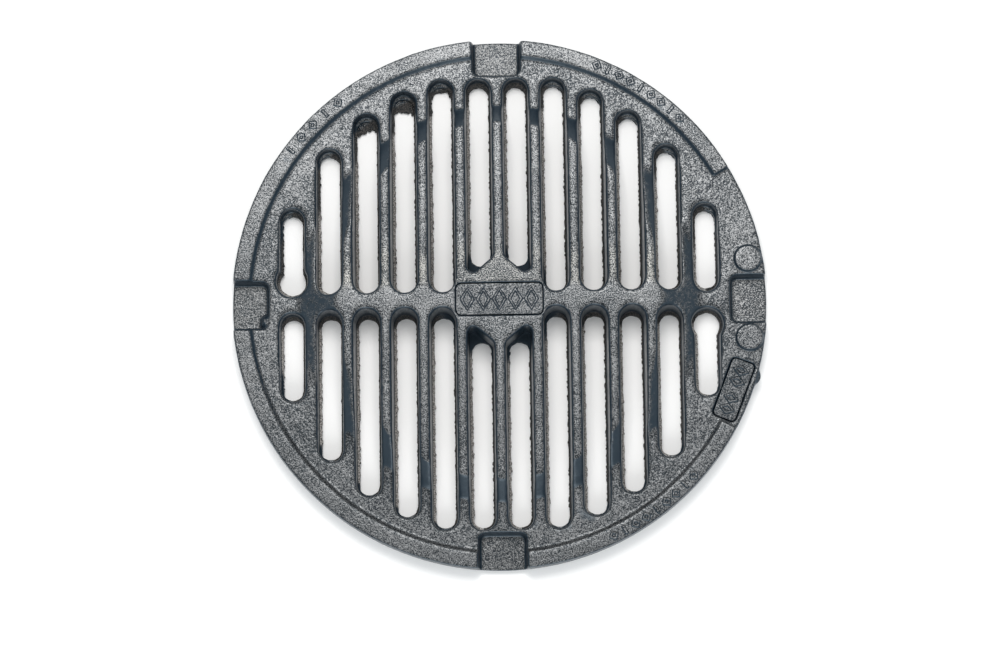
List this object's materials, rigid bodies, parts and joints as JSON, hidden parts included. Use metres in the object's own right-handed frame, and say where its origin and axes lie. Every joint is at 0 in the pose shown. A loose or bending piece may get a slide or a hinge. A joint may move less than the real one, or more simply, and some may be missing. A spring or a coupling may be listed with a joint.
{
  "type": "drain grating",
  "caption": "Round cast-iron drain grating with long parallel slots, deep ribs on its underside, a raised seating rim, open lug pockets and keyholes for lifting.",
  "frame": {"origin": "centre of the flat walking face", "axes": "+Z out of the ribbed underside, +Y along the ribs, +X along the crossbar; installed, the grating is turned over"},
  "size_m": [0.3, 0.3, 0.026],
  "materials": {
    "cast_iron": "rough sand-cast skin with a thin dark blue-grey coating"
  },
  "bodies": {
    "root": {"band_marks_ne": "cast_iron", "band_marks_nw": "cast_iron", "band_marks_se": "cast_iron", "centre_marks": "cast_iron", "centre_plate": "cast_iron", "crossbar_left": "cast_iron", "crossbar_right": "cast_iron", "date_marks": "cast_iron", "date_plate": "cast_iron", "gate_nub": "cast_iron", "hub": "cast_iron", "rib_lower_1": "cast_iron", "rib_lower_10": "cast_iron", "rib_lower_11": "cast_iron", "rib_lower_2": "cast_iron", "rib_lower_3": "cast_iron", "rib_lower_4": "cast_iron", "rib_lower_5": "cast_iron", "rib_lower_6": "cast_iron", "rib_lower_7": "cast_iron", "rib_lower_8": "cast_iron", "rib_lower_9": "cast_iron", "rib_upper_1": "cast_iron", "rib_upper_10": "cast_iron", "rib_upper_11": "cast_iron", "rib_upper_2": "cast_iron", "rib_upper_3": "cast_iron", "rib_upper_4": "cast_iron", "rib_upper_5": "cast_iron", "rib_upper_6": "cast_iron", "rib_upper_7": "cast_iron", "rib_upper_8": "cast_iron", "rib_upper_9": "cast_iron", "rim_left": "cast_iron", "rim_lower": "cast_iron", "rim_lower_left": "cast_iron", "rim_lower_right": "cast_iron", "rim_right": "cast_iron", "rim_upper": "cast_iron", "rim_upper_left": "cast_iron", "rim_upper_right": "cast_iron", "seat_band_ne": "cast_iron", "seat_band_nw": "cast_iron", "seat_band_se": "cast_iron", "seat_band_sw": "cast_iron", "stacking_boss_lower": "cast_iron", "stacking_boss_upper": "cast_iron"}
  },
  "joints": []
}
